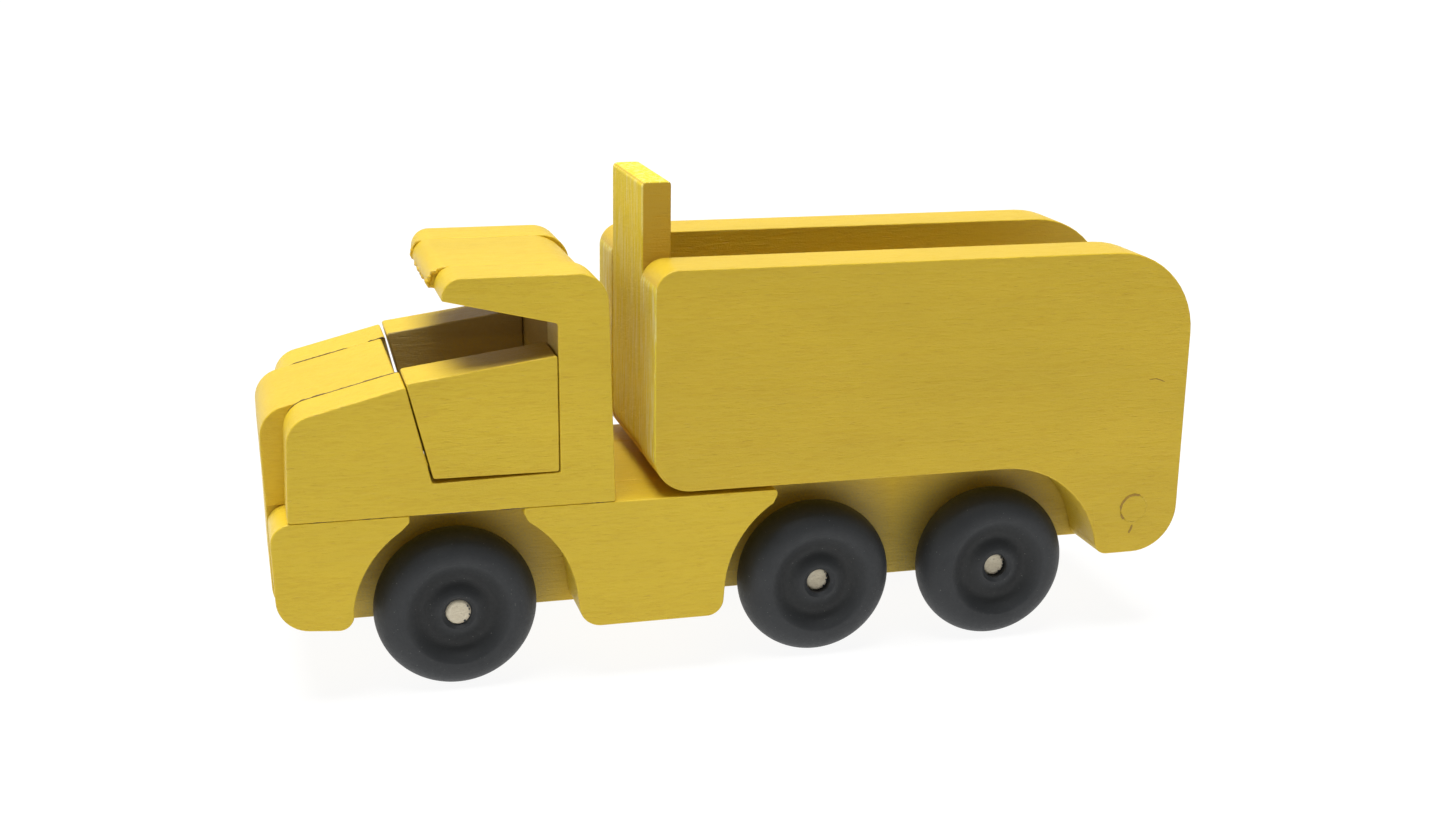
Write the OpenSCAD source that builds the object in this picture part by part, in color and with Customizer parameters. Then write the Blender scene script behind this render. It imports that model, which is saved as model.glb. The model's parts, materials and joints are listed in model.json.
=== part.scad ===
// Wooden toy dump truck: thick core boards glued between side boards, six turned
// wheels on three dowel axles, and a bed that tilts on a rear dowel.
// +X points forward, +Y to the truck's left and +Z up. The wheels stand on z = 0.
// Every side outline is drawn in the XZ plane, as [x, z, corner radius].

/* [Overall] */
// Width over the side boards
body_w = 84; // [82:0.5:90]
// Width of the thick core inside the cab
cab_core_w = 46; // [44:0.5:50]
// Width of the chassis board that carries the axles
chassis_w = 42.8; // [40:0.2:43]
// Sideways gap between the chassis and each bed side
bed_side_gap = 0.4; // [0.3:0.1:0.8]

/* [Chassis] */
// Height of the deck, which is the top of the chassis
deck_z = 58.8; // [58:0.2:60]
// Height of the chassis underside
chassis_bottom = 19.2; // [18:0.2:20]
// Front end of the chassis
chassis_front = 148.8; // [147:0.2:150]
// Lowest point of the front skirts
front_skirt_bottom = 23.3; // [22:0.1:25]
// Lowest point of the middle skirts
mid_skirt_bottom = 18; // [16:0.5:19]
// Radius of the wheel arches
arch_r = 34.6; // [33:0.2:34.8]
// Centre of the front arch along the truck
front_arch_x = 90.5; // [90:0.5:92]
// Centre of the middle arch along the truck
mid_arch_x = -26; // [-27:0.5:-24]

/* [Cab] */
// Front edge of the cab sides at the deck
cab_front = 143.1; // [142:0.1:144]
// Rear edge of the cab at the deck
cab_rear = 44; // [43:0.2:45]
// Top of the roof
roof_z = 131; // [130:0.5:133]
// Height of the hood at its rear end
hood_z = 99; // [98:0.5:100]
// Front tip of the roof overhang
roof_tip = 96.1; // [94:0.1:97]
// Thickness of the cab's back wall
back_wall_t = 24; // [20:0.5:26]
// How far the hood block stands ahead of the cab sides
hood_overhang = 6.4; // [5:0.1:7]
// Saw gap of the left door, at its lower front corner
door_gap_left = 0.4; // [0.3:0.1:1.4]
// Saw gap of the right door, at its lower front corner
door_gap_right = 1.4; // [0.3:0.1:1.6]

/* [Bed] */
// Front edge of the bed sides
bed_front = 31.8; // [30:0.1:34]
// Rear edge of the bed sides
bed_rear = -149.5; // [-151:0.5:-149]
// Underside of the bed sides
bed_bottom = 60.2; // [60.2:0.1:61]
// Top edge of the bed sides
bed_top = 130.8; // [128:0.1:134]
// Lowest point of the legs behind the rear wheels
leg_bottom = 27.7; // [26:0.1:30]
// Thickness of the headboard and of the bed floor
panel_t = 9.3; // [8:0.1:10]
// Top edge of the headboard
headboard_z = 154.6; // [150:0.2:160]
// Radius of the headboard's and the floor's lower front corner
bed_toe_r = 13; // [10:0.5:14]
// Clearance between the bed floor and the deck
floor_gap = 0.3; // [0.3:0.1:0.6]

/* [Pivot] */
// Pivot dowel centre along the truck
pivot_x = -133.6; // [-135:0.2:-133]
// Pivot dowel diameter
pivot_d = 9.5; // [8:0.5:10]
// Radial clearance of a dowel that turns in its hole
running_gap = 0.08; // [0.04:0.01:0.1]

/* [Wheels] */
// Wheel diameter
wheel_d = 50.8; // [50:0.2:51]
// Wheel thickness
wheel_t = 17.8; // [16:0.2:18]
// Sideways gap between a wheel and the chassis
wheel_gap = 1.6; // [0.8:0.1:1.8]
// Depth of the dished face
dish_depth = 2.3; // [2:0.1:4]
// How gently the dish leaves its two crests: 1 is abrupt, 2 is smooth
dish_power = 1.5; // [1:0.05:2]
// How far the hub stops below the wheel's outermost face
hub_inset = 1.1; // [0.5:0.1:1.5]
// Diameter of the hub's crest, around the axle hole
hub_d = 10.6; // [10:0.1:12]
// How far the middle and rear axle ends lie below their hubs
axle_inset = 3; // [0.5:0.1:4]
// Axle dowel diameter
axle_d = 8; // [7:0.1:8.2]
// Front axle along the truck
front_axle_x = 93; // [92:0.5:94]
// Middle axle along the truck
middle_axle_x = -24; // [-25:0.5:-23]
// Rear axle along the truck
rear_axle_x = -86; // [-87:0.5:-85]

/* [Hidden] */
$fn = 96;
eps = 0.01;
half_w = body_w / 2;
core_y = cab_core_w / 2;
chassis_y = chassis_w / 2;
bed_y = chassis_y + bed_side_gap;
axle_z = wheel_d / 2;
axle_xs = [front_axle_x, middle_axle_x, rear_axle_x];
wheel_in = chassis_y + wheel_gap;
wheel_out = wheel_in + wheel_t;
// Height of the pivot: the round rear end of the chassis runs up to the deck
end_r = 15.6;
pivot_z = deck_z - end_r;
floor_bottom = deck_z + floor_gap;
headboard_front = bed_front - 0.4;
headboard_rear = headboard_front - panel_t;
bed_toe = [headboard_front - bed_toe_r, floor_bottom + bed_toe_r];
// Where on that corner the headboard ends and the floor begins
toe_split = -acos((headboard_rear - bed_toe.x) / bed_toe_r);
// Slant of the notch and hood rear face, and the sloping underside of the roof
slant = 0.233;
roof_slope = 0.2377;
pillar_front = 61.4;
notch_z = 69.5;
door_top_slope = 0.137;
// Front corners of the notch and of the hood block's rear face, ahead of the pillar
notch_top_ahead = 45.9;
notch_low_ahead = 38.8;
hood_top_ahead = 47.2;
door_h = 36.7;
// Where the skirts' nibs and toes stand, out from the centres of the arches
front_nib = 16.8;
front_toe = 34.2;
mid_front_nib = 17.9;
mid_front_toe = 35.8;
mid_rear_nib = 17.6;
mid_rear_toe = 35.2;
back_wall_front = cab_rear + back_wall_t;
// Above this height, behind the doors, the back wall steps back to the pillars
ledge_z = notch_z + 18.5;

wood = [0.86, 0.72, 0.25];
shade = [0.78, 0.63, 0.2];
dowel_wood = [0.85, 0.74, 0.55];
tyre_black = [0.12, 0.12, 0.13];

// ---------- Outline helpers ----------

function unit(v) = v / norm(v);

// Points of an arc about c, from angle a to angle b
function arc(c, r, a, b, steps = 12) =
    [for (i = [0:steps]) let (t = a + (b - a) * i / steps) [c.x + r * cos(t), c.y + r * sin(t)]];

// Points that round the corner q between p and s with radius r
function corner(p, q, s, r) =
    let (
        u = unit(p - q),
        v = unit(s - q),
        half = acos(max(-1, min(1, u * v))) / 2,
        c = q + unit(u + v) * r / sin(half),
        start = q + u * r / tan(half) - c,
        end = q + v * r / tan(half) - c,
        a = atan2(start.y, start.x),
        sweep = (atan2(end.y, end.x) - a + 540) % 360 - 180,
        steps = max(3, ceil(abs(sweep) / (r < 2 ? 25 : 7)))
    )
    arc(c, r, a, a + sweep, steps);

// Closed outline from [x, z, radius] points; a point without a radius stays as it is
function rounded(pts) =
    [for (i = [0:len(pts) - 1])
        let (
            q = pts[i],
            xy = [q.x, q.y],
            before = pts[(i + len(pts) - 1) % len(pts)],
            after = pts[(i + 1) % len(pts)]
        )
        each (len(q) == 3
            ? corner([before.x, before.y], xy, [after.x, after.y], q.z)
            : [xy])];

// A board with an XZ outline, from y = a to y = b
module board(outline, a, b) {
    translate([0, b, 0])
        rotate([90, 0, 0])
            linear_extrude(b - a)
                polygon(outline);
}

// A round hole or dowel across the truck
module cross_rod(x, z, d, half) {
    translate([x, half, z])
        rotate([90, 0, 0])
            cylinder(d = d, h = 2 * half);
}

// Mirrors a left-hand piece to the right-hand side
module right_hand() {
    mirror([0, 1, 0])
        children();
}

// ---------- Chassis ----------

module chassis_core() {
    color(shade)
        difference() {
            union() {
                board(rounded([
                    [chassis_front, deck_z],
                    [chassis_front - 1, chassis_bottom, 13],
                    [rear_axle_x - 8, chassis_bottom, 6],
                    [rear_axle_x - 25, pivot_z - end_r, 8],
                    [pivot_x, pivot_z - end_r],
                    [pivot_x, deck_z]
                ]), -chassis_y, chassis_y);
                cross_rod(pivot_x, pivot_z, 2 * end_r, chassis_y);
            }
            for (x = axle_xs)
                cross_rod(x, axle_z, axle_d + 2 * running_gap, half_w);
            cross_rod(pivot_x, pivot_z, pivot_d + 2 * running_gap, half_w);
        }
}

module front_skirt_left() {
    color(wood)
        board(rounded(concat(
            [[cab_front + 5.5, deck_z, 6]],
            [[cab_front + 4.3, front_skirt_bottom + 1.9, 10.5]],
            [[front_arch_x + front_toe, front_skirt_bottom, 4.5]],
            arc([front_arch_x, axle_z], arch_r, 8, 56),
            [[front_arch_x + front_nib, deck_z - 2.2, 1.2], [front_arch_x + front_nib, deck_z, 0.6]]
        )), chassis_y, half_w);
}

module front_skirt_right() {
    right_hand()
        front_skirt_left();
}

module mid_skirt_left() {
    color(wood)
        board(rounded(concat(
            [[front_arch_x - mid_front_nib, deck_z, 0.6], [front_arch_x - mid_front_nib, deck_z - 2, 1.2]],
            arc([front_arch_x, axle_z], arch_r, 124, 174),
            [[front_arch_x - mid_front_toe, mid_skirt_bottom, 7]],
            [[mid_arch_x + mid_rear_toe, mid_skirt_bottom, 5.5]],
            arc([mid_arch_x, axle_z], arch_r, 6, 57),
            [[mid_arch_x + mid_rear_nib, deck_z - 1.8, 1.2], [mid_arch_x + mid_rear_nib, deck_z, 1]]
        )), chassis_y, half_w);
}

module mid_skirt_right() {
    right_hand()
        mid_skirt_left();
}

// ---------- Cab ----------

// Rear face of the hood block, along the slant of the door's front edge
function hood_rear(z) = pillar_front + hood_top_ahead + slant * (z - hood_z);
function roof_under(x) = roof_z - 15 + roof_slope * (x - pillar_front);

module hood_block() {
    front = cab_front + hood_overhang;
    color(shade)
        board(rounded([
            [hood_rear(deck_z), deck_z],
            [chassis_front, deck_z],
            [front - 0.1, deck_z + 16, 24],
            [front + 0.1, hood_z - 10.9, 9.5],
            [hood_rear(hood_z - 0.4), hood_z - 0.4, 0.8]
        ]), -core_y, core_y);
}

module cab_back_wall() {
    color(shade)
        board([
            [cab_rear + 0.4, deck_z],
            [back_wall_front, deck_z],
            [back_wall_front, ledge_z],
            [pillar_front, ledge_z],
            [pillar_front, roof_under(pillar_front)],
            [cab_rear + 1.5, roof_under(cab_rear + 1.5)]
        ], -core_y, core_y);
}

module roof_block() {
    color(shade)
        board(rounded([
            [cab_rear + 1.5, roof_under(cab_rear + 1.5)],
            [roof_tip + 1.6, roof_under(roof_tip + 1.6), 0.8],
            [roof_tip + 1.1, roof_z - 0.1, 5.5],
            [cab_rear + 2, roof_z - 0.1, 13]
        ]), -core_y, core_y);
}

module cab_side_left() {
    color(wood)
        board(rounded([
            [cab_front, deck_z, 0.8],
            [cab_front - 0.8, hood_z - 9, 9],
            [pillar_front + notch_top_ahead, hood_z, 0.8],
            [pillar_front + notch_low_ahead, notch_z - 1, 1],
            [pillar_front - 0.2, notch_z, 0.4],
            [pillar_front + 0.2, roof_under(pillar_front), 1],
            [roof_tip, roof_under(roof_tip), 0.6],
            [roof_tip - 0.6, roof_z, 5.8],
            [cab_rear + 2.2, roof_z, 9.5],
            [cab_rear, deck_z, 0.8]
        ]), core_y, half_w);
}

module cab_side_right() {
    right_hand()
        cab_side_left();
}

// A left-hand door, whose front edge stands back from the notch by the two gaps
module door(top_gap, low_gap) {
    top_ahead = notch_top_ahead - top_gap;
    color(wood)
        board(rounded([
            [pillar_front + 0.35, notch_z + door_h, 0.8],
            [pillar_front + 0.1, notch_z + 0.25, 0.8],
            [pillar_front + notch_low_ahead - low_gap, notch_z + 0.4, 0.8],
            [pillar_front + top_ahead, notch_z + door_h - top_ahead * door_top_slope, 0.8]
        ]), core_y, half_w);
}

module door_left() {
    door(0.15, door_gap_left);
}

module door_right() {
    right_hand()
        door(0.6, door_gap_right);
}

// ---------- Bed ----------

module bed_floor() {
    color(shade)
        board(concat(
            [[bed_rear + 0.6, floor_bottom], [bed_rear + 0.6, floor_bottom + panel_t]],
            [[headboard_rear, floor_bottom + panel_t]],
            arc(bed_toe, bed_toe_r, toe_split, -90)
        ), -bed_y, bed_y);
}

module bed_headboard() {
    color(wood)
        board(rounded(concat(
            [[headboard_rear, headboard_z, 1.2], [headboard_front, headboard_z, 1.6]],
            arc(bed_toe, bed_toe_r, 0, toe_split)
        )), -bed_y, bed_y);
}

module bed_side_left() {
    color(wood)
        difference() {
            board(rounded(concat(
                [[bed_front, bed_bottom, 12], [bed_front, bed_top, 7.5]],
                [[bed_rear, bed_top, 28], [bed_rear, leg_bottom, 15.5]],
                [[rear_axle_x - arch_r, leg_bottom, 4.5]],
                arc([rear_axle_x, axle_z], arch_r + 0.2, 170, 90)
            )), bed_y, half_w);
            cross_rod(pivot_x, pivot_z, pivot_d, half_w + eps);
        }
}

module bed_side_right() {
    right_hand()
        bed_side_left();
}

module bed_pivot_dowel() {
    color(dowel_wood)
        cross_rod(pivot_x, pivot_z, pivot_d, half_w);
}

// ---------- Axles and wheels ----------

// An axle at x, whose ends stop short of the hubs by inset
module axle_dowel(x, inset) {
    color(dowel_wood)
        cross_rod(x, axle_z, axle_d, wheel_out - hub_inset - inset);
}

module front_axle_dowel() {
    axle_dowel(front_axle_x, hub_inset / 2);
}

module middle_axle_dowel() {
    axle_dowel(middle_axle_x, axle_inset);
}

module rear_axle_dowel() {
    axle_dowel(rear_axle_x, axle_inset);
}

// Half section of a wheel: x is the radius, and the outer face is at y = wheel_t.
// A half-round rim runs into a smooth dish, which climbs again to the hub's crest.
module wheel_section() {
    rim_r = wheel_t / 2;
    rim_crest = wheel_d / 2 - rim_r;
    hub_crest = hub_d / 2;
    bore_r = axle_d / 2;
    steps = 18;
    polygon(concat(
        arc([rim_crest, rim_r], rim_r, -90, 90, 30),
        [for (i = [1:steps]) let (u = i / steps) [
            rim_crest + (hub_crest - rim_crest) * u,
            wheel_t - hub_inset * u - dish_depth * pow(sin(180 * u), dish_power)
        ]],
        [[bore_r, wheel_t - 2 * hub_inset], [bore_r, 0]]
    ));
}

// A left-hand wheel on the axle at x
module wheel(x) {
    color(tyre_black)
        translate([x, wheel_in, axle_z])
            rotate([-90, 0, 0])
                rotate_extrude()
                    wheel_section();
}

module front_wheel_left() {
    wheel(front_axle_x);
}

module front_wheel_right() {
    right_hand()
        wheel(front_axle_x);
}

module middle_wheel_left() {
    wheel(middle_axle_x);
}

module middle_wheel_right() {
    right_hand()
        wheel(middle_axle_x);
}

module rear_wheel_left() {
    wheel(rear_axle_x);
}

module rear_wheel_right() {
    right_hand()
        wheel(rear_axle_x);
}

// ---------- Output ----------

chassis_core();
front_skirt_left();
front_skirt_right();
mid_skirt_left();
mid_skirt_right();
hood_block();
cab_back_wall();
roof_block();
cab_side_left();
cab_side_right();
door_left();
door_right();
bed_floor();
bed_headboard();
bed_side_left();
bed_side_right();
bed_pivot_dowel();
front_axle_dowel();
middle_axle_dowel();
rear_axle_dowel();
front_wheel_left();
front_wheel_right();
middle_wheel_left();
middle_wheel_right();
rear_wheel_left();
rear_wheel_right();
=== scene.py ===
"""Looks of the wooden toy dump truck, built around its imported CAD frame.

Everything is in metres in the frame's own axes: +X forward, +Y to the truck's left, +Z up.
"""

import json
import math
import random

import bpy
from mathutils import Matrix, Vector, noise


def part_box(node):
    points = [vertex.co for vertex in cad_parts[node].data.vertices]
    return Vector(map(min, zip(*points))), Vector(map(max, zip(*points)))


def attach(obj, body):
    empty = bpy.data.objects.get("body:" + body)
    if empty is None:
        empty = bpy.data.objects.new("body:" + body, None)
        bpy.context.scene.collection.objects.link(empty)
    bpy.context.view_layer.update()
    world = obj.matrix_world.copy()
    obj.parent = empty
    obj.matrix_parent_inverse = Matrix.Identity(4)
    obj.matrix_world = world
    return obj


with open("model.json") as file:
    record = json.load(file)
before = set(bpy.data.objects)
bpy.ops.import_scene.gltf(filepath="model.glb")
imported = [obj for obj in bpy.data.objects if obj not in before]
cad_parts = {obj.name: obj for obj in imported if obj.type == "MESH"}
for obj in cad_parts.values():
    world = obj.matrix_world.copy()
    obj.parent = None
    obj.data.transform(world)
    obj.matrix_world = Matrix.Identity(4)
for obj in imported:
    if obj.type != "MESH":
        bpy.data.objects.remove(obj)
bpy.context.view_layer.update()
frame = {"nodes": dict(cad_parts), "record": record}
nodes = frame["nodes"]

MM = 0.001

# ---------- Colours, as linear RGB ----------

YELLOW = (0.715, 0.505, 0.028)
YELLOW_CORE = (0.705, 0.490, 0.027)
YELLOW_BED = (0.670, 0.462, 0.025)
YELLOW_CROSS = (0.800, 0.635, 0.050)
YELLOW_END = (0.560, 0.355, 0.035)
THIN_PAINT = (0.930, 0.740, 0.150)
DEEP_YELLOW = (0.560, 0.318, 0.010)
OLIVE = (0.480, 0.370, 0.030)
PALE_STREAK = (0.860, 0.780, 0.360)
# Inside the cab: thin paint with painted shade, and the back wall darkened as painted shade
INNER_DRIFT_AND_SHADE = (0.500, 0.385, 0.160)
WALL_PAINTED_SHADE = (0.250, 0.150, 0.040)
SILL_DRIFT = (0.340, 0.215, 0.030)
# Grey-brown overspray with painted shade, next to the wheels
SPRAY_AND_SHADE_GREY = (0.330, 0.265, 0.110)
GLUE_YELLOW = (0.740, 0.490, 0.030)
GLUE_DIRT = (0.260, 0.150, 0.015)
CRACK_BROWN = (0.400, 0.225, 0.012)
SEAM_BROWN = (0.120, 0.070, 0.018)
BLACK = (0.014, 0.016, 0.018)
# Painted shade for the ring of the wheel's dish
BLACK_DISH_SHADE = (0.006, 0.007, 0.007)
BLACK_DUSTY = (0.042, 0.045, 0.048)
SCUFF_GREY = (0.160, 0.160, 0.155)
DUST_GREY = (0.220, 0.220, 0.200)
DOWEL = (0.760, 0.690, 0.520)
DOWEL_DARK = (0.430, 0.330, 0.200)
DOWEL_PALE = (0.740, 0.680, 0.540)
DOWEL_PIT = (0.130, 0.090, 0.050)
FLOOR = (0.100, 0.100, 0.099)
WHITE = (1.0, 1.0, 1.0, 1.0)

# ---------- Sizes of the finish ----------

EDGE_RADIUS = 0.5 * MM
DOWEL_EDGE = 1.1 * MM
PIVOT_EDGE = 0.3 * MM
BEVEL_ANGLE = math.radians(30)
SMOOTH_ANGLE = math.radians(38)
FLAT_ANGLE = math.radians(0.5)
# How thin a mark on a side face is, as a share of its width
MARK_SQUASH = 0.2
# Strength of the floor's own light, which stands for the lit table under the truck
TABLE_GLOW = 0.92
# Strength of the sky's light
SKY_LIGHT = 0.13

# ---------- Places on the truck, from its CAD nodes ----------

roof_low, roof_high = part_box("roof_block")
hood_low, hood_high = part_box("hood_block")
cab_low, cab_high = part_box("cab_side_left")
bed_low, bed_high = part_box("bed_side_left")
headboard_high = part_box("bed_headboard")[1]
pivot_low, pivot_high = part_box("bed_pivot_dowel")
pivot = (pivot_low + pivot_high) / 2
pivot_r = (pivot_high.x - pivot_low.x) / 2
AXLES = {name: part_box(name + "_axle_dowel") for name in ("front", "middle", "rear")}

# The hollow of the cab, between its side boards
PILLAR_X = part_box("door_left")[0].x
HOLLOW_FRONT_X = 108.5 * MM
HOLLOW_LOW_Z = 58.0 * MM
HOLLOW_HIGH_Z = 117.0 * MM
# The window's sill and pillar, which the roof kept thinly painted
SILL_LOW_Z = 97.0 * MM
SILL_HIGH_Z = 124.0 * MM
SILL_OUTER_Y = 41.7 * MM
SILL_FADE_Y = 40.9 * MM
SILL_SKEW = 0.3
# The chassis is darker by its wheels, below the deck, as overspray with painted shade
SPRAY_SHADE_TOP_Z = 57.4 * MM
SPRAY_SHADE_FADE_Z = 56.6 * MM


# ---------- Small helpers for shader nodes ----------


def new_material(name):
    """A new node material, its node tree and its Principled shader."""
    material = bpy.data.materials.new(name)
    material.use_nodes = True
    tree = material.node_tree
    return material, tree, tree.nodes["Principled BSDF"]


def feed(tree, socket, value):
    """Links value to a socket when it is an output, and sets it when it is a constant."""
    if isinstance(value, bpy.types.NodeSocket):
        tree.links.new(value, socket)
    else:
        socket.default_value = value


def stretched(tree, scale, shift=(0, 0, 0)):
    """Object coordinates, scaled along each axis."""
    coords = tree.nodes.new("ShaderNodeTexCoord")
    mapping = tree.nodes.new("ShaderNodeMapping")
    mapping.inputs["Scale"].default_value = scale
    mapping.inputs["Location"].default_value = shift
    tree.links.new(coords.outputs["Object"], mapping.inputs["Vector"])
    return mapping.outputs["Vector"]


def noise_of(tree, vector, detail=3.0, rough=0.5, distortion=0.0):
    """Noise of about 0 to 1 over a vector that is already scaled."""
    node = tree.nodes.new("ShaderNodeTexNoise")
    node.inputs["Scale"].default_value = 1.0
    node.inputs["Detail"].default_value = detail
    node.inputs["Roughness"].default_value = rough
    node.inputs["Distortion"].default_value = distortion
    tree.links.new(vector, node.inputs["Vector"])
    return node.outputs["Fac"]


def remap(tree, value, low, high, to_low=0.0, to_high=1.0):
    """A value from low..high, brought to to_low..to_high and held there."""
    node = tree.nodes.new("ShaderNodeMapRange")
    node.inputs["From Min"].default_value = low
    node.inputs["From Max"].default_value = high
    node.inputs["To Min"].default_value = to_low
    node.inputs["To Max"].default_value = to_high
    tree.links.new(value, node.inputs["Value"])
    return node.outputs["Result"]


def maths(tree, operation, a, b=0.0):
    """The result of a Math node on a and b."""
    node = tree.nodes.new("ShaderNodeMath")
    node.operation = operation
    feed(tree, node.inputs[0], a)
    feed(tree, node.inputs[1], b)
    return node.outputs["Value"]


def blend(tree, factor, a, b):
    """Colour a turning into colour b as factor goes from 0 to 1."""
    node = tree.nodes.new("ShaderNodeMix")
    node.data_type = "RGBA"
    feed(tree, node.inputs["Factor"], factor)
    for socket, value in ((node.inputs[6], a), (node.inputs[7], b)):
        feed(tree, socket, value if isinstance(value, bpy.types.NodeSocket) else (*value, 1.0))
    return node.outputs[2]


def shaded(tree, colour, amount):
    """A colour made lighter or darker by amount, which is about 1."""
    node = tree.nodes.new("ShaderNodeVectorMath")
    node.operation = "SCALE"
    feed(tree, node.inputs[0], colour)
    feed(tree, node.inputs["Scale"], amount)
    return node.outputs["Vector"]


def bump(tree, height, depth, strength=1.0):
    """A normal from a height of 0 to 1, where 1 stands depth metres proud."""
    node = tree.nodes.new("ShaderNodeBump")
    node.inputs["Strength"].default_value = strength
    node.inputs["Distance"].default_value = depth
    feed(tree, node.inputs["Height"], height)
    return node.outputs["Normal"]


def edge_mask(tree, radius):
    """1 on sharp outer edges and 0 on faces, out to radius."""
    rounded = tree.nodes.new("ShaderNodeBevel")
    rounded.samples = 6
    rounded.inputs["Radius"].default_value = radius
    flat = tree.nodes.new("ShaderNodeNewGeometry")
    dot = tree.nodes.new("ShaderNodeVectorMath")
    dot.operation = "DOT_PRODUCT"
    tree.links.new(rounded.outputs["Normal"], dot.inputs[0])
    tree.links.new(flat.outputs["Normal"], dot.inputs[1])
    return remap(tree, dot.outputs["Value"], 0.995, 0.86)


# ---------- Materials ----------


def place_of(tree):
    """Object coordinates, split into distance ahead, distance from the middle and height."""
    coords = tree.nodes.new("ShaderNodeTexCoord")
    split = tree.nodes.new("ShaderNodeSeparateXYZ")
    tree.links.new(coords.outputs["Object"], split.inputs["Vector"])
    return split.outputs["X"], maths(tree, "ABSOLUTE", split.outputs["Y"]), split.outputs["Z"]


def between(tree, value, low, high, soft):
    """1 from low to high, fading to 0 over soft inside each end."""
    above = remap(tree, value, low, low + soft)
    below = remap(tree, value, high, high - soft)
    return maths(tree, "MULTIPLY", above, below)


def inside_cab(tree):
    """1 on the faces that bound the hollow of the cab, where paint only drifted in and shade is
    painted into the colour.
    """
    ahead, across, height = place_of(tree)
    hollow = maths(tree, "MULTIPLY",
                   between(tree, ahead, PILLAR_X - 0.5 * MM, HOLLOW_FRONT_X, 0.4 * MM),
                   between(tree, height, HOLLOW_LOW_Z, HOLLOW_HIGH_Z, 0.4 * MM))
    inner = remap(tree, across, cab_low.y + 0.6 * MM, cab_low.y + 0.1 * MM)
    return maths(tree, "MULTIPLY", hollow, inner)


def under_roof(tree):
    """1 on the sill and the pillar's front face, as far ahead as the roof kept the paint off."""
    ahead, across, height = place_of(tree)
    reach = maths(tree, "ADD", ahead, maths(tree, "MULTIPLY", across, SILL_SKEW))
    corner = PILLAR_X + SILL_SKEW * cab_low.y
    sill = maths(tree, "MULTIPLY", remap(tree, reach, corner + 33 * MM, corner + 23 * MM),
                 between(tree, height, SILL_LOW_Z, SILL_HIGH_Z, 1.0 * MM))
    sill = maths(tree, "MULTIPLY", sill,
                 between(tree, ahead, PILLAR_X - 0.5 * MM, HOLLOW_FRONT_X, 0.3 * MM))
    return maths(tree, "MULTIPLY", sill, remap(tree, across, SILL_OUTER_Y, SILL_FADE_Y))


def from_axles(tree):
    """Distance from the nearest axle's centre line."""
    coords = tree.nodes.new("ShaderNodeTexCoord")
    flat = tree.nodes.new("ShaderNodeVectorMath")
    flat.operation = "MULTIPLY"
    flat.inputs[1].default_value = (1, 0, 1)
    tree.links.new(coords.outputs["Object"], flat.inputs[0])
    nearest = 1.0
    for low, high in AXLES.values():
        gap = tree.nodes.new("ShaderNodeVectorMath")
        gap.operation = "DISTANCE"
        gap.inputs[1].default_value = ((low.x + high.x) / 2, 0, (low.z + high.z) / 2)
        tree.links.new(flat.outputs["Vector"], gap.inputs[0])
        nearest = maths(tree, "MINIMUM", gap.outputs["Value"], nearest)
    return nearest


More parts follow.
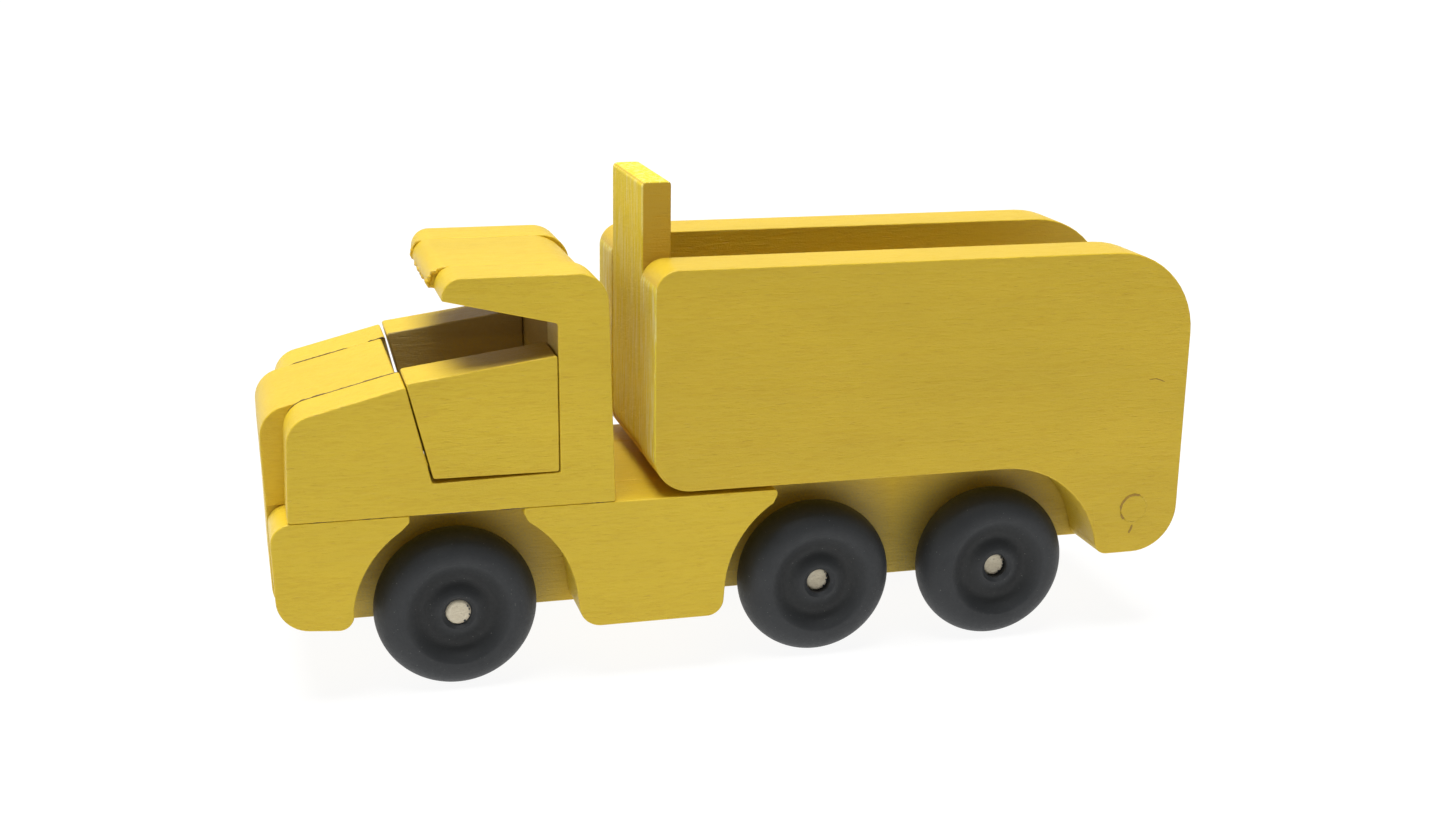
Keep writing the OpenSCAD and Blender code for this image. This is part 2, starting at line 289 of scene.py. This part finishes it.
def painted_wood(name, colour, grain_axis, seed, gloss=0.36, rough_low=0.36,
                 drift_and_shade=None, front=None, top=None, streaks=0.0, spray_and_shade_by_wheels=False):
    """Satin yellow paint, thin enough for the grain of the board to show through.

    front and top are the places of a front and a top face that have their own, streaky yellow.
    The cab's inside colour is thin paint with painted shade in it, and the wheel flag darkens
    the paint near the axles as overspray with painted shade.
    """
    material, tree, shader = new_material(name)
    shift = (seed * 0.37, seed * 0.73, seed * 0.19)

    def along(long_scale, cross_scale):
        scale = [cross_scale] * 3
        scale[grain_axis] = long_scale
        return stretched(tree, scale, shift)

    mottle = noise_of(tree, along(14, 30), 3.0, 0.5)
    bands = noise_of(tree, along(9, 190), 4.0, 0.55, 0.6)
    grain = noise_of(tree, along(190, 1450), 6.0, 0.70, 0.4)
    ripple = noise_of(tree, along(60, 420), 4.0, 0.6, 0.8)
    pores = noise_of(tree, along(240, 2100), 2.0, 0.5)
    peel = noise_of(tree, along(1400, 1400), 3.0, 0.55)
    speckle = noise_of(tree, along(1300, 1900), 2.0, 0.6)

    # Grain and pores turn the paint deeper and warmer, and patches vary a little in lightness
    pore_mask = remap(tree, pores, 0.62, 0.76)
    depth = maths(tree, "MULTIPLY", remap(tree, grain, 0.36, 0.70), 0.52)
    depth = maths(tree, "ADD", depth, maths(tree, "MULTIPLY", pore_mask, 0.30))
    depth = maths(tree, "ADD", depth, remap(tree, bands, 0.35, 0.70, 0.0, 0.14))
    body = blend(tree, maths(tree, "SUBTRACT", depth, 0.24), colour, DEEP_YELLOW)
    body = shaded(tree, body, remap(tree, mottle, 0.3, 0.7, 0.97, 1.06))

    edges = edge_mask(tree, 1.0 * MM)
    worn = maths(tree, "MULTIPLY", edges, remap(tree, speckle, 0.52, 0.68, 0.04, 0.75))
    body = blend(tree, worn, body, THIN_PAINT)
    if front is not None:
        runs = noise_of(tree, stretched(tree, (620, 620, 45), shift), 4.0, 0.65, 0.9)
        ahead, _, height = place_of(tree)
        face = remap(tree, ahead, front - 0.5 * MM, front - 0.2 * MM)
        if top is not None:
            upper = remap(tree, height, top - 0.5 * MM, top - 0.2 * MM)
            face = maths(tree, "MAXIMUM", face, upper)
        plain = blend(tree, remap(tree, grain, 0.40, 0.70, 0.0, 0.22), YELLOW_CROSS, OLIVE)
        pale = maths(tree, "MULTIPLY", face, remap(tree, runs, 0.49, 0.60, 0.0, streaks))
        body = blend(tree, pale, blend(tree, face, body, plain), PALE_STREAK)
    if spray_and_shade_by_wheels:
        # Overspray and painted shade: the chassis darkens grey-brown next to the wheels
        near = remap(tree, from_axles(tree), 40 * MM, 25 * MM, 0.0, 0.75)
        lower = remap(tree, place_of(tree)[2], SPRAY_SHADE_TOP_Z, SPRAY_SHADE_FADE_Z)
        near = maths(tree, "MULTIPLY", near, lower)
        body = blend(tree, maths(tree, "MULTIPLY", near, remap(tree, peel, 0.3, 0.7, 0.5, 1.0)),
                     body, SPRAY_AND_SHADE_GREY)
    if drift_and_shade:
        patchy = remap(tree, peel, 0.3, 0.7, 0.72, 0.95)
        body = blend(tree, maths(tree, "MULTIPLY", under_roof(tree), patchy), body, SILL_DRIFT)
        # Painted shade: the hollow of the cab is darkened in the colour, along with its thin
        # paint
        drift_and_shade_mask = maths(tree, "MULTIPLY", inside_cab(tree), patchy)
        body = blend(tree, drift_and_shade_mask, body, drift_and_shade)
    tree.links.new(body, shader.inputs["Base Color"])

    rough = maths(tree, "ADD", remap(tree, grain, 0.25, 0.75, rough_low, rough_low + 0.14),
                  maths(tree, "MULTIPLY", edges, 0.10))
    if front is not None:
        rough = maths(tree, "ADD", rough, maths(tree, "MULTIPLY", face, 0.25))
    if drift_and_shade:
        rough = maths(tree, "ADD", rough, maths(tree, "MULTIPLY", drift_and_shade_mask, 0.5))
    tree.links.new(rough, shader.inputs["Roughness"])
    shader.inputs["Specular IOR Level"].default_value = gloss

    height = maths(tree, "ADD", maths(tree, "MULTIPLY", grain, 0.9),
                   maths(tree, "MULTIPLY", peel, 0.35))
    height = maths(tree, "SUBTRACT", height, maths(tree, "MULTIPLY", pore_mask, 0.5))
    height = maths(tree, "ADD", height, maths(tree, "MULTIPLY", bands, 0.6))
    height = maths(tree, "ADD", height, maths(tree, "MULTIPLY", ripple, 1.3))
    tree.links.new(bump(tree, height, 0.22 * MM, 1.0), shader.inputs["Normal"])
    return material


def glue_paint(name, colour):
    """Squeezed-out glue with paint over it: glossier and lumpier than the boards."""
    material, tree, shader = new_material(name)
    lumps = noise_of(tree, stretched(tree, (700, 700, 700)), 4.0, 0.6)
    dirt = noise_of(tree, stretched(tree, (1500, 1500, 1500)), 2.0, 0.5)
    tone = remap(tree, lumps, 0.3, 0.7, 0.82, 1.08)
    body = shaded(tree, colour, tone)
    dark = blend(tree, remap(tree, dirt, 0.60, 0.74, 0.0, 0.7), body, GLUE_DIRT)
    tree.links.new(dark, shader.inputs["Base Color"])
    tree.links.new(remap(tree, lumps, 0.3, 0.7, 0.30, 0.48), shader.inputs["Roughness"])
    tree.links.new(bump(tree, lumps, 0.18 * MM, 0.8), shader.inputs["Normal"])
    return material


def crack_paint(name, colour):
    """Paint and dust lying in a crack or a seam, in its own shade."""
    material, tree, shader = new_material(name)
    lumps = noise_of(tree, stretched(tree, (1600, 1600, 1600)), 3.0, 0.6)
    tone = remap(tree, lumps, 0.3, 0.7, 0.7, 1.15)
    tree.links.new(shaded(tree, colour, tone), shader.inputs["Base Color"])
    tree.links.new(remap(tree, lumps, 0.3, 0.7, 0.45, 0.65), shader.inputs["Roughness"])
    tree.links.new(bump(tree, lumps, 0.05 * MM, 0.7), shader.inputs["Normal"])
    return material


def black_paint(name):
    """Satin black on turned hardwood, dusty on the outer faces and paler where it is handled,
    with painted shade in the ring of the dish round the hub.
    """
    material, tree, shader = new_material(name)
    cloud = noise_of(tree, stretched(tree, (60, 60, 60)), 4.0, 0.6)
    fuzz = noise_of(tree, stretched(tree, (900, 900, 900)), 4.0, 0.65)
    scuffs = noise_of(tree, stretched(tree, (170, 170, 420), (3.1, 0.4, 1.7)), 5.0, 0.7, 1.4)
    dust = noise_of(tree, stretched(tree, (1700, 1700, 1700)), 1.0, 0.5)
    body = blend(tree, remap(tree, cloud, 0.3, 0.7, 0.20, 0.55), BLACK, BLACK_DUSTY)
    out = from_axles(tree)
    # Painted shade: the ring of the dish round the hub is darkened in the colour
    dish_shade = maths(tree, "MULTIPLY", remap(tree, out, 4.5 * MM, 9.5 * MM),
                 remap(tree, out, 17.0 * MM, 12.0 * MM, 0.0, 0.85))
    body = blend(tree, dish_shade, body, BLACK_DISH_SHADE)
    scuffed = blend(tree, remap(tree, scuffs, 0.70, 0.80, 0.0, 0.35), body, SCUFF_GREY)
    dusty = blend(tree, remap(tree, dust, 0.74, 0.80, 0.0, 0.5), scuffed, DUST_GREY)
    tree.links.new(dusty, shader.inputs["Base Color"])
    tree.links.new(remap(tree, fuzz, 0.3, 0.7, 0.46, 0.62), shader.inputs["Roughness"])
    shader.inputs["Specular IOR Level"].default_value = 0.42
    height = maths(tree, "ADD", fuzz, maths(tree, "MULTIPLY", cloud, 0.5))
    tree.links.new(bump(tree, height, 0.05 * MM, 0.6), shader.inputs["Normal"])
    return material


def bare_dowel(name):
    """Sawn end grain of a hardwood dowel: pale, pitted and a little dirty."""
    material, tree, shader = new_material(name)
    pits = noise_of(tree, stretched(tree, (1900, 250, 1900)), 3.0, 0.6)
    rings = noise_of(tree, stretched(tree, (420, 60, 900), (0.3, 0.1, 0.8)), 4.0, 0.6, 0.8)
    stain = noise_of(tree, stretched(tree, (260, 60, 260), (1.3, 0.7, 0.2)), 3.0, 0.6)
    wood = blend(tree, remap(tree, rings, 0.35, 0.70, 0.0, 0.45), DOWEL, DOWEL_DARK)
    wood = blend(tree, remap(tree, stain, 0.52, 0.70, 0.0, 0.45), wood, DOWEL_PALE)
    wood = blend(tree, remap(tree, pits, 0.62, 0.75, 0.0, 0.75), wood, DOWEL_PIT)
    tree.links.new(wood, shader.inputs["Base Color"])
    tree.links.new(remap(tree, pits, 0.3, 0.7, 0.60, 0.82), shader.inputs["Roughness"])
    height = maths(tree, "SUBTRACT", rings, pits)
    tree.links.new(bump(tree, height, 0.12 * MM, 0.7), shader.inputs["Normal"])
    return material


def floor_finish(name):
    """Matt white light table with the faintest unevenness."""
    material, tree, shader = new_material(name)
    cloud = noise_of(tree, stretched(tree, (3, 3, 3)), 3.0, 0.5)
    tone = remap(tree, cloud, 0.3, 0.7, 0.995, 1.0)
    tree.links.new(shaded(tree, FLOOR, tone), shader.inputs["Base Color"])
    tree.links.new(remap(tree, cloud, 0.3, 0.7, 0.88, 0.95), shader.inputs["Roughness"])
    shader.inputs["Specular IOR Level"].default_value = 0.1
    shader.inputs["Emission Color"].default_value = WHITE
    shader.inputs["Emission Strength"].default_value = TABLE_GLOW
    return material


board_paint = painted_wood("board_paint", YELLOW, 0, 1.0, drift_and_shade=INNER_DRIFT_AND_SHADE)
core_board_paint = painted_wood("core_board_paint", YELLOW_CORE, 0, 2.3, drift_and_shade=INNER_DRIFT_AND_SHADE)
chassis_paint = painted_wood("chassis_paint", YELLOW_CORE, 0, 4.2, spray_and_shade_by_wheels=True)
bed_board_paint = painted_wood("bed_board_paint", YELLOW_BED, 0, 3.7,
                               front=bed_high.x, streaks=0.8)
cross_board_paint = painted_wood("cross_board_paint", YELLOW_END, 0, 5.1, 0.20, 0.58,
                                 front=headboard_high.x, top=headboard_high.z, streaks=0.55)
cab_wall_paint = painted_wood("cab_wall_paint", YELLOW_CORE, 2, 6.4, 0.10, drift_and_shade=WALL_PAINTED_SHADE)
squeeze_paint = glue_paint("squeeze_paint", GLUE_YELLOW)
crack_finish = crack_paint("crack_finish", CRACK_BROWN)
seam_finish = crack_paint("seam_finish", SEAM_BROWN)
wheel_paint = black_paint("wheel_black")
dowel_finish = bare_dowel("dowel_end_grain")

FINISH_OF_SLOT = {
    "body_paint": board_paint,
    "core_paint": core_board_paint,
    "bed_paint": bed_board_paint,
    "wheel_paint": wheel_paint,
    "dowel_wood": dowel_finish,
}
FINISH_OF_NODE = {
    "bed_headboard": cross_board_paint,
    "cab_back_wall": cab_wall_paint,
    "chassis_core": chassis_paint,
}


# ---------- Eased edges on the boards ----------


def smooth_group():
    """Node group that shades a mesh smooth and keeps its real edges sharp."""
    group = bpy.data.node_groups.new("smooth_by_angle", "GeometryNodeTree")
    group.interface.new_socket("Geometry", in_out="INPUT", socket_type="NodeSocketGeometry")
    group.interface.new_socket("Geometry", in_out="OUTPUT", socket_type="NodeSocketGeometry")
    start = group.nodes.new("NodeGroupInput")
    end = group.nodes.new("NodeGroupOutput")
    drop = group.nodes.new("GeometryNodeRemoveAttribute")
    drop.inputs["Name"].default_value = "custom_normal"
    faces = group.nodes.new("GeometryNodeSetShadeSmooth")
    faces.domain = "FACE"
    edges = group.nodes.new("GeometryNodeSetShadeSmooth")
    edges.domain = "EDGE"
    angle = group.nodes.new("GeometryNodeInputMeshEdgeAngle")
    small = group.nodes.new("FunctionNodeCompare")
    small.operation = "LESS_THAN"
    small.inputs[1].default_value = SMOOTH_ANGLE
    links = group.links
    links.new(start.outputs[0], drop.inputs["Geometry"])
    links.new(drop.outputs["Geometry"], faces.inputs["Geometry"])
    links.new(faces.outputs["Geometry"], edges.inputs["Geometry"])
    links.new(angle.outputs["Unsigned Angle"], small.inputs[0])
    links.new(small.outputs["Result"], edges.inputs["Shade Smooth"])
    links.new(edges.outputs["Geometry"], end.inputs[0])
    return group


SMOOTH = smooth_group()


def ease_edges(obj, radius):
    """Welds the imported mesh, joins its flat faces and rounds its outer edges."""
    weld = obj.modifiers.new("weld", "WELD")
    weld.merge_threshold = 0.002 * MM
    planar = obj.modifiers.new("planar", "DECIMATE")
    planar.decimate_type = "DISSOLVE"
    planar.angle_limit = FLAT_ANGLE
    rounding = obj.modifiers.new("rounding", "BEVEL")
    rounding.width = radius
    rounding.segments = 3
    rounding.limit_method = "ANGLE"
    rounding.angle_limit = BEVEL_ANGLE
    rounding.use_clamp_overlap = False
    shade = obj.modifiers.new("shade", "NODES")
    shade.node_group = SMOOTH
    weighted = obj.modifiers.new("weighted", "WEIGHTED_NORMAL")
    weighted.keep_sharp = True


for part in frame["record"]["subparts"]:
    node = nodes[part["node"]]
    finish = FINISH_OF_NODE.get(node.name, FINISH_OF_SLOT[part["material_slot"]])
    node.material_slots[0].material = finish
    if part["material_slot"] == "dowel_wood":
        ease_edges(node, DOWEL_EDGE)
    elif node.name == "bed_pivot_dowel":
        ease_edges(node, PIVOT_EDGE)
    elif part["material_slot"] != "wheel_paint":
        ease_edges(node, EDGE_RADIUS)


# ---------- Small paint and glue details ----------


def add_piece(name, body, verts, faces, finish):
    """A new piece of the visual model that rides on a body."""
    mesh = bpy.data.meshes.new(name)
    mesh.from_pydata([tuple(v) for v in verts], [], faces)
    mesh.materials.append(finish)
    piece = bpy.data.objects.new(name, mesh)
    bpy.context.scene.collection.objects.link(piece)
    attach(piece, body)
    return piece


def outline_of(node_name, y):
    """Corners of a board's outline on the plane y, in order around it, as (x, z)."""
    points = set()
    for v in nodes[node_name].data.vertices:
        if abs(v.co.y - y) < 0.01 * MM:
            points.add((round(v.co.x, 5), round(v.co.z, 5)))
    cx = sum(p[0] for p in points) / len(points)
    cz = sum(p[1] for p in points) / len(points)
    return sorted(points, key=lambda p: math.atan2(p[1] - cz, p[0] - cx))


def resample(points, step):
    """Points at an even step along a line of points."""
    out = [points[0]]
    left = step
    for a, b in zip(points, points[1:]):
        length = (b - a).length
        at = left
        while at < length:
            out.append(a.lerp(b, at / length))
            at += step
        left = at - length
    out.append(points[-1])
    return out


def bead(name, body, points, radius, lump, finish, seed, step=0.35 * MM, squash=1.0):
    """A lumpy bead along a line of points, tapering to nothing at its ends.

    A squash under 1 flattens it along Y, for a mark that lies on a side face.
    """
    path = resample([Vector(p) for p in points], step)
    sides = 10
    verts = []
    faces = []
    for i, at in enumerate(path):
        before = path[max(0, i - 1)]
        after = path[min(len(path) - 1, i + 1)]
        along = (after - before).normalized()
        across = along.cross(Vector((0.31, 0.17, 0.93))).normalized()
        other = along.cross(across)
        share = i / (len(path) - 1)
        taper = min(1.0, 6 * share, 6 * (1 - share)) ** 0.5
        for k in range(sides):
            turn = 2 * math.pi * k / sides
            way = across * math.cos(turn) + other * math.sin(turn)
            probe = (at + way * radius) * 900 + Vector((seed, 2 * seed, 0))
            size = radius * (taper * (1 + lump * noise.noise(probe)) + 0.02)
            verts.append(at + Vector((way.x, way.y * squash, way.z)) * size)
    for i in range(len(path) - 1):
        for k in range(sides):
            a = i * sides + k
            b = i * sides + (k + 1) % sides
            faces.append((a, b, b + sides, a + sides))
    faces.append(tuple(reversed(range(sides))))
    faces.append(tuple(range((len(path) - 1) * sides, len(path) * sides)))
    piece = add_piece(name, body, verts, faces, finish)
    piece.data.polygons.foreach_set("use_smooth", [True] * len(faces))
    smooth = piece.modifiers.new("smooth", "SUBSURF")
    smooth.levels = 1
    smooth.render_levels = 1


roof_front = [p for p in outline_of("roof_block", roof_high.y) if p[0] > roof_high.x - 9 * MM]
roof_front.sort(key=lambda p: -p[1])
lip = [p for p in roof_front if p[1] < roof_high.z - 0.5 * MM]

# Glue squeezed out of the two joints at the front of the roof
for side, sign in (("left", 1), ("right", -1)):
    joint = [(x, sign * roof_high.y, z) for x, z in lip]
    bead("roof_squeeze_" + side, "truck", joint, 0.75 * MM, 1.3, squeeze_paint,
         3.0 + sign)

# Drips along the roof block's lower front edge
lowest_x, lowest_z = min(roof_front, key=lambda p: p[1])
drip_line = []
for i in range(25):
    y = roof_low.y + (roof_high.y - roof_low.y) * i / 24
    sag = 0.35 * MM * noise.noise(Vector((y * 300, 0.5, 7.1)))
    drip_line.append((lowest_x - 0.3 * MM + sag, y, lowest_z + 0.1 * MM + sag))
bead("roof_drip", "truck", drip_line, 0.75 * MM, 1.6, squeeze_paint, 9.0)


def top_line(node_name, y, lowest_z):
    """The upper outline of a board on the plane y, from front to rear."""
    line = [p for p in outline_of(node_name, y) if p[1] > lowest_z]
    return sorted(line, key=lambda p: -p[0])


def hairline(name, body, line, radius, seed, share):
    """Short dark pieces of seam along a line, with gaps where paint has bridged it."""
    path = resample([Vector(p) for p in line], 0.5 * MM)
    run = []
    count = 0
    for i, at in enumerate(path + [None]):
        wave = noise.noise(Vector((i * 0.045, seed, 0.3))) * 0.5 + 0.5
        if at is not None and wave < share:
            run.append(at)
            continue
        if len(run) > 5:
            bead(f"{name}_{count}", body, run, radius, 0.7, seam_finish, seed + i)
            count += 1
        run = []


# Dark hairlines where the hood block meets the cab sides, and under the cab
hood_crown = [p for p in top_line("cab_side_left", cab_low.y, hood_low.z + 28 * MM)
              if p[0] > hood_high.x - 43 * MM and p[1] < hood_high.z + 1 * MM]
for side, sign in (("left", 1), ("right", -1)):
    y = sign * cab_low.y
    hairline("hood_seam_" + side, "truck", [(x, y, z - 0.10 * MM) for x, z in hood_crown],
             0.29 * MM, 21.0 + 3 * sign, 0.80)
    foot = [(cab_low.x + i * MM, sign * (cab_high.y - 0.45 * MM), hood_low.z)
            for i in range(1, int((cab_high.x - cab_low.x) / MM))]
    hairline("cab_foot_seam_" + side, "truck", foot, 0.25 * MM, 31.0 + 5 * sign, 0.55)


# ---------- Marks in the paint of the bed ----------


def pivot_arc(name, face_y, start, end, radius, finish, seed):
    """Part of the paint line around the end of the pivot dowel; 0 is ahead and 90 is up."""
    line = []
    for i in range(40):
        turn = math.radians(start + (end - start) * i / 39)
        wobble = 0.15 * MM * noise.noise(Vector((i * 0.35, seed, 2.0)))
        r = pivot_r + 0.1 * MM + wobble
        line.append((pivot.x + r * math.cos(turn), face_y, pivot.z + r * math.sin(turn)))
    bead(name, "bed", line, radius, 0.6, finish, seed, squash=MARK_SQUASH)


for side, sign in (("left", 1), ("right", -1)):
    face_y = sign * bed_high.y
    pivot_arc("pivot_gap_" + side, face_y, 118, -8, 0.50 * MM, crack_finish, 5.0 + sign)
    pivot_arc("pivot_notch_" + side, face_y, -20, -46, 0.45 * MM, crack_finish, 15.0 + sign)
    pivot_arc("pivot_rim_" + side, face_y, 105, 310, 0.22 * MM, bed_board_paint, 25.0 + sign)
    below = [
        (pivot.x + 0.1 * MM, face_y, pivot.z - pivot_r - 0.9 * MM),
        (pivot.x + 0.5 * MM, face_y, pivot.z - pivot_r - 2.2 * MM),
        (pivot.x + 1.2 * MM, face_y, pivot.z - pivot_r - 3.9 * MM),
    ]
    bead("pivot_crack_" + side, "bed", below, 0.44 * MM, 0.6, crack_finish,
         8.0 + sign, squash=MARK_SQUASH)

split_x = bed_low.x + 8 * MM
split_z = bed_low.z + 0.57 * (bed_high.z - bed_low.z)
split = [
    (split_x + 6.0 * MM, bed_high.y, split_z + 1.3 * MM),
    (split_x + 3.5 * MM, bed_high.y, split_z + 1.6 * MM),
    (split_x + 1.5 * MM, bed_high.y, split_z + 0.9 * MM),
    (split_x, bed_high.y, split_z + 0.3 * MM),
]
bead("bed_split_left", "bed", split, 0.20 * MM, 0.6, crack_finish, 12.0,
     squash=MARK_SQUASH)


# ---------- Black paint on the axle ends ----------


def fleck(name, body, centre, size, sign, seed):
    """A thin flake of black paint with a ragged outline, lying on an axle's end."""
    rim = 22
    verts = [centre + Vector((0, sign * 0.06 * MM, 0))]
    for i in range(rim):
        turn = 2 * math.pi * i / rim
        way = Vector((math.cos(turn), 0, math.sin(turn)))
        r = size * (1 + 0.7 * noise.noise(way * 1.6 + Vector((seed, 0, 2 * seed))))
        verts.append(centre + Vector((way.x * r * 0.62, 0, way.z * r)))
    faces = [(0, 1 + i, 1 + (i + 1) % rim) for i in range(rim)]
    back = len(verts)
    verts += [v + Vector((0, -sign * 0.08 * MM, 0)) for v in verts[1:]]
    faces += [(1 + i, back + i, back + (i + 1) % rim, 1 + (i + 1) % rim) for i in range(rim)]
    faces.append(tuple(back + i for i in range(rim)))
    add_piece(name, body, verts, faces, wheel_paint)


random.seed(7)
for axle, (low, high) in AXLES.items():
    centre = (low + high) / 2
    reach = 0.86 * (high.x - low.x) / 2
    for side, sign in (("left", 1), ("right", -1)):
        for i, turn in enumerate((-12, 14, 34, -52)):
            at = math.radians(turn + random.uniform(-6, 6))
            place = Vector((centre.x - sign * reach * math.cos(at), sign * high.y,
                            centre.z + reach * math.sin(at)))
            size = random.uniform(0.30, 0.62) * MM
            fleck(f"{axle}_fleck_{side}_{i}", axle + "_axle", place, size, sign, i + 4.0)


# ---------- Floor, lights and camera ----------


def add_floor():
    size = 12.0
    mesh = bpy.data.meshes.new("floor")
    corners = [(-size, -size, 0), (size, -size, 0), (size, size, 0), (-size, size, 0)]
    mesh.from_pydata(corners, [], [(0, 1, 2, 3)])
    mesh.materials.append(floor_finish("floor_sweep"))
    floor = bpy.data.objects.new("floor", mesh)
    bpy.context.scene.collection.objects.link(floor)


def add_sky(strength):
    """A dim even sky that lights the truck, in front of a backdrop that looks pure white."""
    world = bpy.data.worlds.new("studio")
    world.use_nodes = True
    tree = world.node_tree
    sky = tree.nodes["Background"]
    sky.inputs["Color"].default_value = WHITE
    seen = tree.nodes.new("ShaderNodeLightPath").outputs["Is Camera Ray"]
    backdrop = remap(tree, seen, 0.0, 1.0, strength, 1.0)
    tree.links.new(backdrop, sky.inputs["Strength"])
    bpy.context.scene.world = world


def add_sun(name, towards, strength, softness):
    data = bpy.data.lights.new(name, "SUN")
    data.energy = strength
    data.angle = math.radians(softness)
    lamp = bpy.data.objects.new(name, data)
    lamp.rotation_euler = Vector(towards).to_track_quat("-Z", "Y").to_euler()
    bpy.context.scene.collection.objects.link(lamp)


def add_card(name, place, facing, length, width, power):
    """A lit white card, which the camera doesn't see."""
    data = bpy.data.lights.new(name, "AREA")
    data.shape = "RECTANGLE"
    data.size = length
    data.size_y = width
    data.energy = power
    lamp = bpy.data.objects.new(name, data)
    lamp.location = place
    lamp.rotation_euler = Vector(facing).to_track_quat("-Z", "Y").to_euler()
    lamp.visible_camera = False
    bpy.context.scene.collection.objects.link(lamp)


def add_camera():
    """The photograph's viewpoint, found from the truck's own straight edges and wheels."""
    place = Vector((0.15824, 0.57686, 0.24315))
    yaw = math.radians(15.464)
    pitch = math.radians(15.685)
    roll = math.radians(0.871)
    forward = Vector((-math.sin(yaw) * math.cos(pitch), -math.cos(yaw) * math.cos(pitch),
                      -math.sin(pitch)))
    level = Vector((-math.cos(yaw), math.sin(yaw), 0))
    upright = level.cross(forward)
    right = math.cos(roll) * level + math.sin(roll) * upright
    up = -math.sin(roll) * level + math.cos(roll) * upright
    data = bpy.data.cameras.new("photo_view")
    data.sensor_width = 36.0
    data.lens = 46.37
    data.clip_start = 0.01
    data.clip_end = 50.0
    camera = bpy.data.objects.new("photo_view", data)
    camera.matrix_world = Matrix((
        (right.x, up.x, -forward.x, place.x),
        (right.y, up.y, -forward.y, place.y),
        (right.z, up.z, -forward.z, place.z),
        (0, 0, 0, 1),
    ))
    bpy.context.scene.collection.objects.link(camera)
    bpy.context.scene.camera = camera


add_floor()
add_sky(SKY_LIGHT)
add_sun("overhead", (-0.10, 0.0, -1.0), 4.4, 36)
add_sun("front_fill", (-1.0, 0.0, -0.35), 0.50, 40)
# Two low strips that lean towards the truck, as a bright table lights it from below
add_card("near_glow", (-0.03, 0.13, 0.004), (0, -1, 0.9), 0.60, 0.05, 0.060)
add_card("far_glow", (-0.03, -0.13, 0.004), (0, 1, 0.9), 0.60, 0.05, 0.060)
# A big card behind the truck, which its top faces mirror at a low angle
add_card("back_card", (0.0, -1.3, 0.55), (0, 1, 0), 3.0, 1.1, 5.0)
add_camera()
bpy.context.scene.view_settings.view_transform = "Standard"
